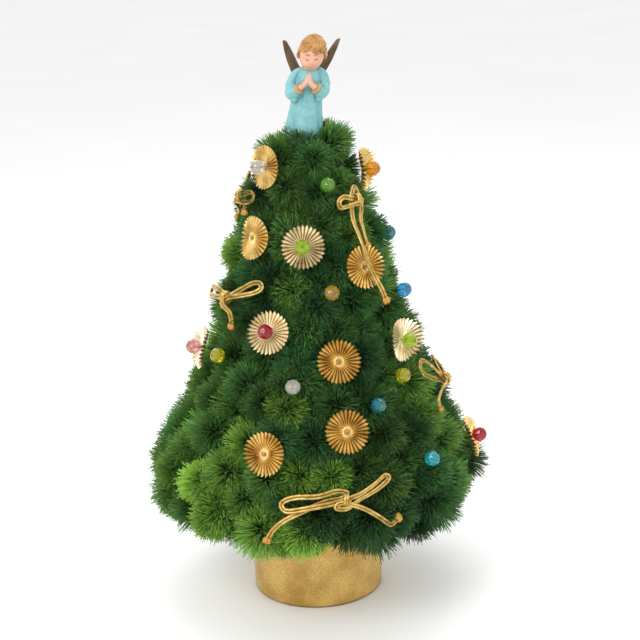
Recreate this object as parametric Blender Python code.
"""Artificial tabletop tree: a gilt pot, a foam cone covered in rows of brush picks, foil rosettes and
beads on straight pins, metallic cord bows and a lift-off angel topper.

Frame: metres, +Z up, -Y to the front, origin on the table under the middle of the pot. Places on the tree
are given as an azimuth (degrees from the front, positive to the right) and a share of the foliage's height.
"""
import math

import bmesh
import bpy
import numpy as np
from mathutils import Matrix, Vector

for leftover in list(bpy.data.objects):
    bpy.data.objects.remove(leftover, do_unlink=True)

# ---- Driving dimensions, in metres ----
GAP = 0.0003  # between solids that touch

POT_BOTTOM_RADIUS = 0.0445
POT_TOP_RADIUS = 0.0455
POT_HEIGHT = 0.072
POT_WALL = 0.0012
POT_FLOOR = 0.0016
POT_FOOT_ROUND = 0.0012
PLASTER_HEIGHT = 0.044
DOWEL_RADIUS = 0.006
DOWEL_BITE = 0.060  # how far the dowel goes up into the foam

FOLIAGE_BOTTOM = 0.062
FOLIAGE_TOP = 0.330
FOLIAGE_RADIUS = 0.1125
ROWS = 8
TUFT_PITCH = 0.026  # between neighbouring tufts along a row
LUMP_DEPTH = 0.005  # how deep the valley between two tufts is

FOAM_BASE_RADIUS = 0.070
FOAM_TOP_RADIUS = 0.0135
FOAM_LIFT = 0.002  # of the foam's base above the pot's rim
CROWN_DEPTH = 0.0143  # of the foam's top below the crown tufts' tips

ANGEL_BASE_RADIUS = 0.0124
ANGEL_HEIGHT = 0.0640
ANGEL_LEAN = math.radians(7.0)
ANGEL_BASE_PLAY = 0.0026  # between the robe's hem and the crown tufts
PEG_RADIUS = 0.0025
PEG_LENGTH = 0.018
PEG_PLAY = 0.0004
WING_SPAN = 0.0370
WING_THICKNESS = 0.0009

ROSETTE_RADIUS = 0.0144
ROSETTE_PLEATS = 14
PLEAT_DEPTH = 0.0009
FOIL_THICKNESS = 0.0004
FOIL_CLEARANCE = 0.0008  # between a rosette's pleats and the tufts behind it
PIN_RADIUS = 0.00045
PIN_HEAD_RADIUS = 0.0011
PIN_HEAD_HEIGHT = 0.0006
PIN_BITE = 0.010  # how far a pin goes into the foam
PIN_RUNNING_GAP = 0.0001  # round a pin in a rosette's centre hole
PIN_HOLE_PLAY = 0.0004  # round a pin in the tufts and the foam
BEAD_RADIUS = 0.0050

CORD_RADIUS = 0.0011
CORD_STEP = 0.0062  # between points along a bow's tube
CORD_OVER_FOIL = 0.0027  # least height of a cord's line over a rosette's plane
CORD_RIM_PLAY = 0.0055  # how far past a rosette's rim that height is kept

# The foliage's outline: share of its height, share of its radius.
OUTLINE = [
    (0.000, 0.78), (0.040, 0.93), (0.085, 1.00), (0.125, 0.985), (0.160, 0.95), (0.216, 0.885), (0.280, 0.83),
    (0.336, 0.755), (0.410, 0.66), (0.485, 0.60), (0.545, 0.565), (0.604, 0.52), (0.664, 0.465), (0.746, 0.385),
    (0.795, 0.345), (0.880, 0.275), (0.918, 0.245), (0.963, 0.205), (1.000, 0.165),
]

FOAM_BOTTOM = POT_HEIGHT + FOAM_LIFT
FOAM_TOP = FOLIAGE_TOP - CROWN_DEPTH
ANGEL_SEAT = FOAM_TOP + GAP


# ---- Shape of the tree ----
def height_at(share):
    """Height of a share of the foliage, 0 at the hem and 1 at the crown's tips."""
    return FOLIAGE_BOTTOM + share * (FOLIAGE_TOP - FOLIAGE_BOTTOM)


def outline_radius(z):
    """Radius of the foliage's outline at a height."""
    shares, radii = np.array(OUTLINE).T
    return FOLIAGE_RADIUS * np.interp(z, height_at(shares), radii)


def foam_radius(z):
    """Radius of the foam cone at a height."""
    return np.interp(z, [FOAM_BOTTOM, FOAM_TOP], [FOAM_BASE_RADIUS, FOAM_TOP_RADIUS])


def on_tree(azimuth, share, out=0.0):
    """The point at an azimuth and a share of the height, this far outside the outline."""
    z = height_at(share)
    r = outline_radius(z) + out
    turn = math.radians(azimuth)
    return Vector((r * math.sin(turn), -r * math.cos(turn), z))


def facing(azimuth, rise):
    """Unit vector that looks out at an azimuth and up by rise, both in degrees."""
    turn, lift = math.radians(azimuth), math.radians(rise)
    return Vector((math.sin(turn) * math.cos(lift), -math.cos(turn) * math.cos(lift), math.sin(lift)))


# ---- Helpers ----
def finish_material(name, colour, roughness, metallic=0.0):
    """A plain Principled material."""
    material = bpy.data.materials.get(name) or bpy.data.materials.new(name)
    material.use_nodes = True
    shader = material.node_tree.nodes["Principled BSDF"]
    shader.inputs["Base Color"].default_value = (*colour, 1.0)
    shader.inputs["Roughness"].default_value = roughness
    shader.inputs["Metallic"].default_value = metallic
    return material


GILT = finish_material("gilt_paint", (0.56, 0.37, 0.10), 0.35, 0.9)
PLASTER = finish_material("plaster", (0.80, 0.78, 0.72), 0.9)
WOOD = finish_material("dowel_wood", (0.50, 0.33, 0.17), 0.7)
FOAM = finish_material("green_foam", (0.07, 0.22, 0.10), 0.95)
BRISTLE = finish_material("green_bristle", (0.03, 0.14, 0.04), 0.6)
ROBE = finish_material("angel_paint", (0.20, 0.45, 0.48), 0.5)
BRONZE = finish_material("bronze_paint", (0.16, 0.10, 0.04), 0.45, 0.6)
STEEL = finish_material("pin_steel", (0.60, 0.58, 0.52), 0.3, 1.0)
GOLD_FOIL = finish_material("gold_foil", (0.66, 0.42, 0.13), 0.28, 1.0)
PALE_FOIL = finish_material("champagne_foil", (0.75, 0.64, 0.42), 0.28, 1.0)
CORD = finish_material("metallic_cord", (0.60, 0.38, 0.08), 0.35, 0.9)
BEADS = {
    "clear": finish_material("bead_clear", (0.80, 0.78, 0.68), 0.08),
    "orange": finish_material("bead_orange", (0.80, 0.33, 0.03), 0.08),
    "lime": finish_material("bead_lime", (0.42, 0.62, 0.03), 0.08),
    "red": finish_material("bead_red", (0.50, 0.01, 0.02), 0.08),
    "pink": finish_material("bead_pink", (0.80, 0.28, 0.27), 0.08),
    "green": finish_material("bead_green", (0.05, 0.42, 0.05), 0.08),
    "teal": finish_material("bead_teal", (0.00, 0.20, 0.25), 0.08),
    "blue": finish_material("bead_blue", (0.02, 0.25, 0.50), 0.08),
    "amber": finish_material("bead_amber", (0.50, 0.28, 0.02), 0.08),
    "yellow": finish_material("bead_yellow", (0.75, 0.50, 0.02), 0.08),
    "cyan": finish_material("bead_cyan", (0.02, 0.50, 0.55), 0.08),
}


def new_object(name, points, faces, material):
    """An object from a list of points and faces, its faces turned outwards."""
    mesh = bpy.data.meshes.new(name)
    mesh.from_pydata([tuple(p) for p in points], [], [tuple(int(i) for i in f) for f in faces])
    shell = bmesh.new()
    shell.from_mesh(mesh)
    bmesh.ops.recalc_face_normals(shell, faces=shell.faces)
    shell.to_mesh(mesh)
    shell.free()
    mesh.materials.append(material)
    mesh.shade_smooth()
    mesh.set_sharp_from_angle(angle=math.radians(35))
    thing = bpy.data.objects.new(name, mesh)
    bpy.context.collection.objects.link(thing)
    return thing


def ring_faces(rings, sides, closed_along=False):
    """Quads between neighbouring rings of points; the last ring joins the first where closed_along."""
    faces = []
    for i in range(rings if closed_along else rings - 1):
        j = (i + 1) % rings
        for k in range(sides):
            m = (k + 1) % sides
            faces.append((i * sides + k, i * sides + m, j * sides + m, j * sides + k))
    return faces


def turned(name, profile, sides, material, place=None):
    """A closed body turned round Z from (radius, height) points; ends at radius 0 become poles."""
    points, faces, inner = [], [], [p for p in profile if p[0] > 0]
    for radius, height in inner:
        for k in range(sides):
            turn = 2 * math.pi * k / sides
            points.append((radius * math.cos(turn), radius * math.sin(turn), height))
    faces = ring_faces(len(inner), sides)
    for end, ring in ((profile[0], 0), (profile[-1], len(inner) - 1)):
        pole = len(points)
        points.append((0.0, 0.0, end[1]))
        first = ring * sides
        for k in range(sides):
            faces.append((first + k, first + (k + 1) % sides, pole))
    thing = new_object(name, points, faces, material)
    if place is not None:
        thing.matrix_world = place
    return thing


def as_cutter(thing):
    """Marks an object as a Boolean cutter, which is not part of the model."""
    thing.hide_render = True
    thing.display_type = "WIRE"
    return thing


def cut(thing, cutter):
    """Takes a cutter's shape out of an object."""
    change = thing.modifiers.new("cut_" + cutter.name, "BOOLEAN")
    change.operation = "DIFFERENCE"
    change.object = cutter


def frame_at(point, normal):
    """Matrix with its origin at a point, Z along the normal and X level."""
    z = normal.normalized()
    x = Vector((0.0, 0.0, 1.0)).cross(z).normalized()
    y = z.cross(x)
    turn = Matrix((x, y, z)).transposed().to_4x4()
    return Matrix.Translation(point) @ turn


# ---- Pot, weight, dowel and foam ----
def make_base():
    """The pot with its plaster, the dowel that stands in it and the foam cone on the dowel."""
    inside_bottom = POT_BOTTOM_RADIUS - POT_WALL
    inside_top = POT_TOP_RADIUS - POT_WALL
    turned("pot", [
        (0.0, 0.0), (POT_BOTTOM_RADIUS - POT_FOOT_ROUND, 0.0), (POT_BOTTOM_RADIUS, POT_FOOT_ROUND),
        (POT_TOP_RADIUS, POT_HEIGHT), (inside_top, POT_HEIGHT), (inside_bottom, POT_FLOOR), (0.0, POT_FLOOR),
    ], 48, GILT)
    weight_bottom = POT_FLOOR + GAP
    weight_top = weight_bottom + PLASTER_HEIGHT
    fill = inside_bottom - GAP
    dowel_bottom = weight_bottom + 0.25 * PLASTER_HEIGHT
    dowel_top = FOAM_BOTTOM + DOWEL_BITE
    hole = DOWEL_RADIUS + GAP
    turned("plaster_weight", [
        (0.0, weight_bottom), (fill, weight_bottom), (fill, weight_top), (hole, weight_top),
        (hole, dowel_bottom - GAP), (0.0, dowel_bottom - GAP),
    ], 36, PLASTER)
    turned("trunk_dowel", [(0.0, dowel_bottom), (DOWEL_RADIUS, dowel_bottom), (DOWEL_RADIUS, dowel_top),
                           (0.0, dowel_top)], 16, WOOD)
    return turned("foam_cone", [
        (0.0, dowel_top + GAP), (hole, dowel_top + GAP), (hole, FOAM_BOTTOM), (FOAM_BASE_RADIUS, FOAM_BOTTOM),
        (FOAM_TOP_RADIUS, FOAM_TOP), (0.0, FOAM_TOP),
    ], 32, FOAM)


# ---- Foliage rows ----
def lumps_in_row(z):
    """Tufts round a row at this height, a multiple of four so that the tree stays square to its axes."""
    return max(8, 4 * round(2 * math.pi * outline_radius(z) / TUFT_PITCH / 4))


def make_row(row):
    """One row of brush picks as a ring: flat above and below, scalloped tufts outside, the foam inside."""
    low = height_at(row / ROWS) + GAP / 2
    high = height_at((row + 1) / ROWS) - GAP / 2
    lumps = lumps_in_row((low + high) / 2)
    sides = 2 * lumps
    crown = row == ROWS - 1
    seat = ANGEL_BASE_RADIUS + ANGEL_BASE_PLAY
    heights = np.linspace(low, high, 4)
    peak = height_at(OUTLINE[2][0])
    if low < peak < high:
        heights[np.argmin(abs(heights - peak))] = peak
    inner = [high] + ([FOAM_BOTTOM] if low < FOAM_BOTTOM < high else []) + [low]
    profile = [(float(outline_radius(z)), float(z), LUMP_DEPTH) for z in heights]
    for z in inner:
        bore = max(float(foam_radius(z)) + GAP, seat if crown else 0.0)
        profile.append((bore / math.cos(math.pi / sides), z, 0.0))
    points = []
    for radius, z, depth in profile:
        for k in range(sides):
            turn = 2 * math.pi * k / sides
            reach = radius - (depth if k % 2 else 0.0)
            points.append((reach * math.sin(turn), -reach * math.cos(turn), z))
    return new_object(f"foliage_row_{row + 1}", points, ring_faces(len(profile), sides, True), BRISTLE)


# ---- Rosettes, beads and pins ----
# name, azimuth, share of height, facing azimuth, rise, bend out at the rim, foil, bead
ROSETTES = [
    ("crown_left", -45, 0.890, -50, 8, 0.0, GOLD_FOIL, "clear"),
    ("crown_right", 84, 0.865, 72, 4, 0.006, GOLD_FOIL, "orange"),
    ("upper_left", -40.5, 0.728, -52, 14, -0.003, GOLD_FOIL, None),
    ("upper_front", -2.5, 0.714, -2, 16, 0.0, PALE_FOIL, "lime"),
    ("upper_right", 40.5, 0.656, 30, 14, 0.0, GOLD_FOIL, None),
    ("middle_left", -22, 0.520, -20, 24, 0.0, PALE_FOIL, "red"),
    ("middle_front", 14.5, 0.454, 8, 20, 0.0, GOLD_FOIL, None),
    ("middle_right", 55, 0.472, 42, 8, 0.006, PALE_FOIL, "lime"),
    ("middle_side", -70, 0.447, -72, 14, 0.005, PALE_FOIL, "pink"),
    ("lower_front", 13.7, 0.305, 6, 20, 0.0, GOLD_FOIL, None),
    ("lower_left", -17.7, 0.262, -26, 16, 0.0, GOLD_FOIL, None),
    ("lower_side", 79, 0.182, 80, 18, 0.004, GOLD_FOIL, "red"),
    ("back_high", 168, 0.640, 168, 18, 0.0, PALE_FOIL, "amber"),
    ("back_low", -158, 0.300, -158, 18, 0.0, GOLD_FOIL, "blue"),
]
# The rosettes that stand clear of bristles and cords, and so turn on their pins.
TURNING = ("crown_left", "upper_front", "middle_left", "middle_front", "lower_front", "lower_left",
           "back_high", "back_low")
# name, azimuth, share of height, rise, bead
LONE_BEADS = [
    ("upper_green", 21.7, 0.849, 12, "green"),
    ("upper_teal", 88, 0.700, 10, "teal"),
    ("right_blue", 70, 0.575, 10, "blue"),
    ("front_amber", 13.7, 0.611, 14, "amber"),
    ("left_yellow", -51.4, 0.451, 12, "yellow"),
    ("front_clear", -8.1, 0.406, 12, "clear"),
    ("right_yellow", 46.2, 0.397, 12, "yellow"),
    ("front_teal", 28.4, 0.351, 12, "teal"),
    ("lower_cyan", 45.4, 0.208, 12, "cyan"),
    ("back_pink", 140, 0.420, 12, "pink"),
    ("back_green", -130, 0.560, 12, "green"),
]


def rosette_points(bend, sides, radius):
    """Rim points of a pleated disc in its own frame: every other one is pushed out or in by the pleats."""
    turn = 2 * math.pi * np.arange(sides) / sides
    x, y = radius * np.cos(turn), radius * np.sin(turn)
    pleat = PLEAT_DEPTH * np.where(np.arange(sides) % 2, -1.0, 1.0)
    return np.stack([x, y, pleat + bend * (x / radius) ** 2], axis=1)


def stand_off(azimuth, share, normal, bend):
    """How far out of the outline a rosette's centre has to be for its whole rim to clear the tufts."""
    centre = on_tree(azimuth, share)
    place = frame_at(centre, normal)
    needed = 0.0
    for point in rosette_points(bend, 2 * ROSETTE_PLEATS, ROSETTE_RADIUS):
        spot = place @ Vector(point)
        inside = float(outline_radius(spot.z)) - math.hypot(spot.x, spot.y)
        needed = max(needed, inside / normal.dot(facing(azimuth, 0)))
    return needed + FOIL_CLEARANCE + FOIL_THICKNESS


def over_rosette(azimuth, share, clear, name):
    """The point at an azimuth and a share of the height that is this far in front of a rosette's plane."""
    _, turn, level, look, rise, bend, _, _ = next(row for row in ROSETTES if row[0] == name)
    normal, way = facing(look, rise), facing(azimuth, 0)
    centre = on_tree(turn, level) + normal * stand_off(turn, level, normal, bend)
    start = on_tree(azimuth, share)
    aside = start - centre
    if (aside - normal * aside.dot(normal)).length < ROSETTE_RADIUS + CORD_RIM_PLAY:
        clear = max(clear, CORD_OVER_FOIL)
    return start + way * ((clear - aside.dot(normal)) / way.dot(normal))


def make_rosette(name, place, bend, foil):
    """A thin pleated disc with a hole for its pin: hole, hub and rim rings, above and below."""
    sides = 2 * ROSETTE_PLEATS
    hole = (PIN_RADIUS + PIN_RUNNING_GAP) / math.cos(math.pi / sides)
    half = FOIL_THICKNESS / 2
    turn = 2 * math.pi * np.arange(sides) / sides
    flat = np.stack([hole * np.cos(turn), hole * np.sin(turn), 0 * turn], axis=1)
    rim = rosette_points(bend, sides, ROSETTE_RADIUS)
    up = np.array([0.0, 0.0, half])
    points = np.concatenate([flat + up, rim + up, rim - up, flat - up])
    thing = new_object("rosette_" + name, points, ring_faces(4, sides, True), foil)
    thing.matrix_world = place
    return thing


def pin_depth(place):
    """Length of pin from a place on the tree to PIN_BITE inside the foam, along the pin."""
    point, normal = place.translation, place.to_3x3().col[2]
    slope = (FOAM_BASE_RADIUS - FOAM_TOP_RADIUS) / (FOAM_TOP - FOAM_BOTTOM)
    level = math.hypot(normal.x, normal.y)
    gap = math.hypot(point.x, point.y) - FOAM_BASE_RADIUS + slope * (point.z - FOAM_BOTTOM)
    return gap / (level + slope * normal.z) + PIN_BITE


def bead_profile(centre):
    """(radius, height) points round a bead on a pin, from below to above."""
    rings = [math.radians(a) for a in (-60, -20, 20, 60)]
    return [(BEAD_RADIUS * math.cos(a), centre + BEAD_RADIUS * math.sin(a)) for a in rings]


def make_pin(name, place, head_at, bead=None):
    """A straight pin along a place's Z axis, with a bead under its head where bead names one."""
    depth = pin_depth(place)
    profile = [(0.0, -depth), (PIN_RADIUS, -depth + 3 * PIN_RADIUS), (PIN_RADIUS, head_at)]
    if bead:
        profile += bead_profile(head_at + BEAD_RADIUS)
        head_at += 2 * BEAD_RADIUS - PIN_HEAD_HEIGHT
    profile += [(PIN_HEAD_RADIUS, head_at), (PIN_HEAD_RADIUS, head_at + PIN_HEAD_HEIGHT),
                (0.0, head_at + PIN_HEAD_HEIGHT)]
    turned(name, profile, 8, BEADS[bead] if bead else STEEL, place)
    hole = PIN_RADIUS + PIN_HOLE_PLAY
    cutter = turned("hole_for_" + name, [(0.0, -depth - GAP), (hole, -depth - GAP), (hole, head_at + BEAD_RADIUS),
                                         (0.0, head_at + BEAD_RADIUS)], 6, STEEL, place)
    return as_cutter(cutter), place @ Vector((0.0, 0.0, -depth))


def make_ornaments(foam, rows):
    """Every pinned ornament, and the pin holes that they need in the foam and the rows."""
    pins = []
    for name, azimuth, share, look, rise, bend, foil, bead in ROSETTES:
        normal = facing(look, rise)
        out = stand_off(azimuth, share, normal, bend)
        place = frame_at(on_tree(azimuth, share) + normal * out, normal)
        make_rosette(name, place, bend, foil)
        head_at = FOIL_THICKNESS / 2 + GAP + 0.6 * BEAD_RADIUS * max(bend, 0.0) / ROSETTE_RADIUS
        kind = "bead_pin_" if bead else "pin_"
        pins.append(make_pin(kind + name, place, head_at, bead))
    for name, azimuth, share, rise, bead in LONE_BEADS:
        normal = facing(azimuth, rise)
        place = frame_at(on_tree(azimuth, share) + normal * FOIL_CLEARANCE, normal)
        pins.append(make_pin("bead_pin_" + name, place, 0.0, bead))
    spacing = (FOLIAGE_TOP - FOLIAGE_BOTTOM) / ROWS
    for cutter, tip in pins:
        cut(foam, cutter)
        top = cutter.matrix_world.translation.z
        for index, row in enumerate(rows):
            low = FOLIAGE_BOTTOM + index * spacing
            if tip.z < low + spacing + PIN_HEAD_RADIUS and top > low - 2 * BEAD_RADIUS:
                cut(row, cutter)


# ---- Angel topper ----
def leaning(points):
    """Points of the upright figure, moved sideways in step with their height to follow the lean."""
    points = np.array(points, float)
    points[:, 0] += math.tan(ANGEL_LEAN) * points[:, 2]
    return points + (0.0, 0.0, ANGEL_SEAT)


def lofted(name, sections, sides, material):
    """A closed body through level ellipses: (centre x, centre y, height, half width, half depth)."""
    points = []
    for x, y, z, wide, deep in sections:
        for k in range(sides):
            turn = 2 * math.pi * k / sides
            points.append((x + wide * math.cos(turn), y + deep * math.sin(turn), z))
    faces = ring_faces(len(sections), sides)
    faces.append(tuple(range(sides)))
    faces.append(tuple(range(len(points) - sides, len(points))))
    return new_object(name, leaning(points), faces, material)


def limb(name, joints, sides, material):
    """A closed tube through (point, radius) joints, its rings square to the way on."""
    spots = np.array([spot for spot, _ in joints])
    ways = np.gradient(spots, axis=0)
    points = []
    for spot, way, (_, radius) in zip(spots, ways, joints):
        way = Vector(way).normalized()
        across = way.cross(Vector((0.0, 0.0, 1.0)) if abs(way.z) < 0.9 else Vector((1.0, 0.0, 0.0))).normalized()
        over = way.cross(across)
        for k in range(sides):
            turn = 2 * math.pi * k / sides
            points.append(Vector(spot) + radius * (math.cos(turn) * across + math.sin(turn) * over))
    faces = ring_faces(len(joints), sides)
    faces.append(tuple(range(sides)))
    faces.append(tuple(range(len(points) - sides, len(points))))
    return new_object(name, leaning(points), faces, material)


def join(thing, other):
    """Unites another body with an object; the other becomes a guide outside the model."""
    as_cutter(other)
    change = thing.modifiers.new("join_" + other.name, "BOOLEAN")
    change.operation = "UNION"
    change.object = other


def make_angel(foam):
    """The praying figure with its wings behind it and the peg under it that plugs into the foam."""
    h, r = ANGEL_HEIGHT, ANGEL_BASE_RADIUS
    figure = lofted("angel_figure", [
        (0.0, 0.0, 0.0, r, 0.92 * r), (0.0, 0.0, 0.05 * h, 0.99 * r, 0.92 * r), (0.0, 0.0, 0.20 * h, 0.86 * r, 0.78 * r),
        (0.0, 0.0, 0.42 * h, 0.76 * r, 0.66 * r), (0.0, 0.0, 0.58 * h, 0.74 * r, 0.60 * r),
        (0.0, 0.0, 0.665 * h, 0.62 * r, 0.48 * r), (0.0, -0.01 * h, 0.705 * h, 0.30 * r, 0.30 * r),
        (0.0, -0.02 * h, 0.76 * h, 0.24 * r, 0.24 * r),
    ], 20, ROBE)
    head_radius = 0.165 * h
    head = [math.radians(a) for a in range(-80, 81, 20)]
    join(figure, lofted("angel_head", [
        (0.0, -0.03 * h, 0.825 * h + 1.05 * head_radius * math.sin(a), 0.92 * head_radius * math.cos(a),
         head_radius * math.cos(a)) for a in head
    ], 16, ROBE))
    for side in (-1, 1):
        join(figure, limb(f"angel_arm_{side + 1}", [
            ((side * 0.50 * r, 0.0, 0.640 * h), 0.26 * r), ((side * 0.82 * r, -0.10 * r, 0.52 * h), 0.30 * r),
            ((side * 0.72 * r, -0.62 * r, 0.45 * h), 0.30 * r), ((side * 0.20 * r, -0.96 * r, 0.56 * h), 0.22 * r),
        ], 10, ROBE))
    join(figure, limb("angel_hands", [
        ((0.0, -0.94 * r, 0.50 * h), 0.20 * r), ((0.0, -0.98 * r, 0.58 * h), 0.19 * r),
        ((0.0, -0.94 * r, 0.66 * h), 0.08 * r),
    ], 8, ROBE))
    make_wings(h, r)
    join(figure, lofted("angel_wing_boss", [
        (0.0, 0.50 * r, 0.515 * h, 0.25 * r, 0.19 * r), (0.0, 0.50 * r, 0.600 * h, 0.25 * r, 0.19 * r)], 8, ROBE))
    peg = limb("angel_peg", [((0.0, 0.0, -GAP - d), PEG_RADIUS) for d in (0.0, 0.9 * PEG_LENGTH)]
               + [((0.0, 0.0, -GAP - PEG_LENGTH), 0.6 * PEG_RADIUS)], 12, WOOD)
    socket = limb("peg_socket", [((0.0, 0.0, 0.004 - d), PEG_RADIUS + PEG_PLAY)
                                 for d in (0.0, 0.004 + PEG_LENGTH + 2 * GAP)], 16, WOOD)
    cut(foam, as_cutter(socket))
    return figure, peg


def make_wings(h, r):
    """One pressed pair of wings: a flat outline drawn on the right side, mirrored to the left, made thick."""
    half = WING_SPAN / 2
    right = [(0.0, 0.47), (0.20, 0.46), (0.42, 0.50), (0.62, 0.58), (0.80, 0.70), (0.93, 0.84), (1.0, 0.955),
             (0.90, 0.945), (0.74, 0.88), (0.56, 0.80), (0.38, 0.71), (0.20, 0.64), (0.0, 0.61)]
    outline = [(half * x, h * z) for x, z in right] + [(-half * x, h * z) for x, z in reversed(right[1:-1])]
    back = 0.55 * r + 0.14 * r + GAP
    points = [(x, back + y + 0.10 * abs(x), z) for y in (0.0, WING_THICKNESS) for x, z in outline]
    n, half_n = len(outline), len(right) - 1
    faces = []
    for base in (0, n):
        for k in range(half_n // 2):
            faces.append((base + k, base + k + 1, base + half_n - k - 1, base + half_n - k))
            left = [base + (n - j) % n for j in (k, k + 1, half_n - k - 1, half_n - k)]
            faces.append(tuple(left))
    faces += [(k, (k + 1) % n, n + (k + 1) % n, n + k) for k in range(n)]
    new_object("angel_wings", leaning(points), faces, BRONZE)


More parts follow.
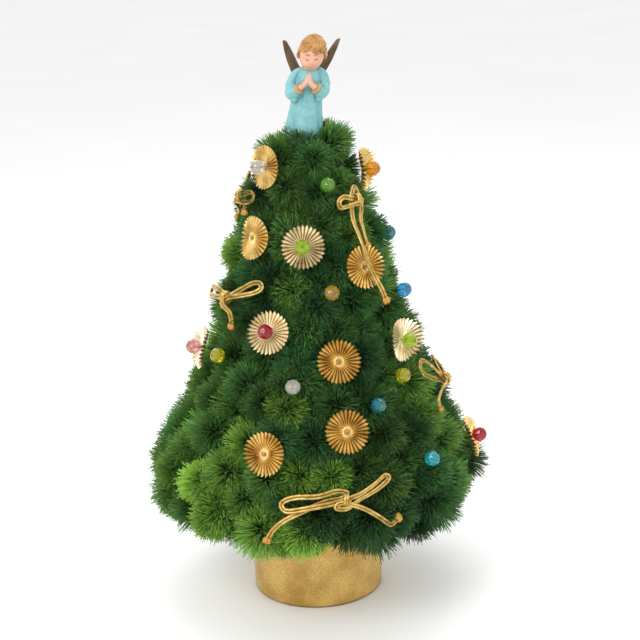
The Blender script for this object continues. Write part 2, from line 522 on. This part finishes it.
# ---- Bows ----
# Each route runs from the end of the left tail, round both loops, to the end of the right tail:
# azimuth, share of height, distance outside the outline in millimetres. A point that names a rosette lies
# over it, and its distance is the clearance in front of that rosette's plane instead.
BOWS = {
    "bow_front": [
        (-15.2, 0.080, 2.6), (-13.2, 0.105, 3.0), (-9.5, 0.128, 3.2), (-3.0, 0.150, 3.2), (3.5, 0.166, 3.4),
        (8.6, 0.170, 3.4), (10.6, 0.182, 5.0), (7.4, 0.190, 6.2), (1.0, 0.182, 6.6), (-6.0, 0.180, 6.0),
        (-10.0, 0.170, 4.8), (-10.6, 0.158, 4.4), (-8.5, 0.150, 5.2), (-2.0, 0.158, 6.4), (5.5, 0.166, 7.0),
        (10.0, 0.172, 7.2), (15.0, 0.180, 6.6), (20.5, 0.194, 5.4), (24.6, 0.206, 4.6), (26.2, 0.200, 4.2),
        (24.6, 0.190, 3.6), (20.0, 0.176, 3.2), (14.5, 0.166, 5.0), (10.0, 0.157, 9.2), (6.6, 0.160, 9.8),
        (8.0, 0.170, 10.0), (12.0, 0.162, 9.0), (16.5, 0.143, 6.0), (20.5, 0.120, 4.4), (24.0, 0.098, 3.4),
        (26.4, 0.106, 2.8),
    ],
    "bow_left": [
        (-57.0, 0.570, 3.0), (-53.5, 0.580, 3.6), (-51.0, 0.588, 5.0), (-55.0, 0.598, 6.4), (-64.0, 0.602, 6.0),
        (-75.0, 0.596, 4.6), (-83.0, 0.588, 3.6), (-87.0, 0.578, 3.4), (-83.0, 0.570, 4.0), (-73.0, 0.576, 5.6),
        (-60.0, 0.588, 8.0), (-50.0, 0.596, 9.0), (-42.0, 0.604, 8.0), (-34.0, 0.612, 5.6), (-29.5, 0.622, 4.2),
        (-30.5, 0.634, 3.6), (-36.0, 0.632, 3.6), (-42.0, 0.618, 4.6), (-47.0, 0.604, 6.2), (-50.0, 0.588, 11.4),
        (-50.0, 0.574, 9.0), (-48.6, 0.560, 5.4), (-47.6, 0.545, 3.8), (-47.2, 0.530, 3.0),
    ],
    "bow_crown_left": [
        (-66.0, 0.785, 2.8), (-68.5, 0.800, 3.4), (-70.0, 0.815, 4.6), (-76.0, 0.835, 5.0), (-84.0, 0.855, 4.2),
        (-92.0, 0.862, 3.4), (-99.0, 0.852, 3.4), (-98.0, 0.835, 4.2), (-88.0, 0.822, 5.6), (-76.0, 0.818, 7.2),
        (-66.0, 0.822, 8.0), (-57.5, 0.832, 6.4), (-53.0, 0.826, 5.0), (-55.5, 0.812, 4.6), (-63.0, 0.806, 6.0),
        (-72.0, 0.808, 10.2), (-78.0, 0.796, 7.0), (-80.5, 0.780, 4.0), (-82.0, 0.762, 3.0),
    ],
    "bow_crown_right": [
        (46.0, 0.582, 3.2, "upper_right"), (44.0, 0.605, 5.1, "upper_right"), (41.2, 0.640, 4.85, "upper_right"),
        (39.6, 0.672, 3.45, "upper_right"), (39.4, 0.700, 2.75, "upper_right"), (40.6, 0.730, -1.33, "upper_right"),
        (42.0, 0.765, 3.6), (43.4, 0.800, 4.4), (46.0, 0.825, 5.6), (52.0, 0.838, 5.2),
        (57.5, 0.828, 4.0), (58.0, 0.812, 3.6), (53.0, 0.806, 5.0), (46.5, 0.812, 8.0), (41.0, 0.818, 8.6),
        (35.0, 0.822, 6.4), (31.0, 0.812, 4.6), (32.0, 0.798, 4.2), (38.0, 0.800, 5.8), (44.6, 0.806, 11.0),
        (48.0, 0.790, 8.4), (49.4, 0.765, 4.6), (50.0, 0.735, 3.4), (49.6, 0.705, 3.0),
    ],
    "bow_right": [
        (84.0, 0.322, 3.0), (80.0, 0.330, 3.6), (76.0, 0.340, 5.0), (72.0, 0.350, 5.6), (67.0, 0.362, 5.0),
        (63.0, 0.378, 4.0), (63.5, 0.396, 3.6), (67.5, 0.404, 4.2), (71.0, 0.388, 5.8), (72.5, 0.366, 7.8),
        (75.0, 0.348, 8.4), (80.0, 0.342, 7.0), (87.0, 0.350, 5.0), (91.0, 0.364, 4.0), (89.5, 0.378, 3.6),
        (84.0, 0.374, 4.2), (78.0, 0.360, 5.8), (72.0, 0.348, 10.6), (67.0, 0.336, 8.0), (64.0, 0.318, 4.8),
        (62.5, 0.298, 3.2),
    ],
    "bow_back": [
        (171.0, 0.440, 2.8), (173.0, 0.462, 3.4), (176.0, 0.484, 4.8), (181.0, 0.497, 5.4), (188.0, 0.506, 4.8),
        (194.5, 0.508, 3.8), (197.0, 0.498, 3.4), (194.0, 0.486, 3.8), (187.0, 0.484, 5.4), (180.0, 0.490, 8.0),
        (173.0, 0.496, 8.0), (166.0, 0.504, 6.0), (161.0, 0.504, 4.4), (159.5, 0.493, 3.6), (163.5, 0.484, 4.2),
        (171.0, 0.484, 6.2), (178.5, 0.488, 10.8), (184.0, 0.474, 7.6), (187.0, 0.452, 4.4), (189.5, 0.428, 3.0),
    ],
}


def smooth_route(points, step):
    """Points this far apart along a Catmull-Rom curve through the given ones."""
    p = np.array([2 * points[0] - points[1], *points, 2 * points[-1] - points[-2]])
    t = np.linspace(0, 1, 24, endpoint=False)[:, None]
    fine = []
    for a, b, c, d in zip(p[:-3], p[1:-2], p[2:-1], p[3:]):
        fine.append(0.5 * (2 * b + (c - a) * t + (2 * a - 5 * b + 4 * c - d) * t**2 + (3 * b - a - 3 * c + d) * t**3))
    fine = np.concatenate([*fine, p[-2:-1]])
    along = np.concatenate([[0], np.cumsum(np.linalg.norm(np.diff(fine, axis=0), axis=1))])
    count = max(3, round(along[-1] / step) + 1)
    at = np.linspace(0, along[-1], count)
    return np.stack([np.interp(at, along, fine[:, i]) for i in range(3)], axis=1)


def make_bow(name, route):
    """A bow's doubled cord as one round tube along its route."""
    spots = np.array([over_rosette(azimuth, share, out / 1000, *over) if over else
                      on_tree(azimuth, share, out / 1000) for azimuth, share, out, *over in route])
    line = smooth_route(spots, CORD_STEP)
    curve = bpy.data.curves.new(name, "CURVE")
    curve.dimensions = "3D"
    curve.bevel_depth = CORD_RADIUS
    curve.bevel_resolution = 2
    curve.use_fill_caps = True
    spline = curve.splines.new("POLY")
    spline.points.add(len(line) - 1)
    for spot, place in zip(spline.points, line):
        spot.co = (*place, 1.0)
    curve.materials.append(CORD)
    thing = bpy.data.objects.new(name, curve)
    bpy.context.collection.objects.link(thing)


def build_tree():
    """The whole tree, from the pot up."""
    foam_cone = make_base()
    rows = [make_row(row) for row in range(ROWS)]
    make_ornaments(foam_cone, rows)
    make_angel(foam_cone)
    for name, route in BOWS.items():
        make_bow(name, route)


if __name__ == "__main__":
    build_tree()
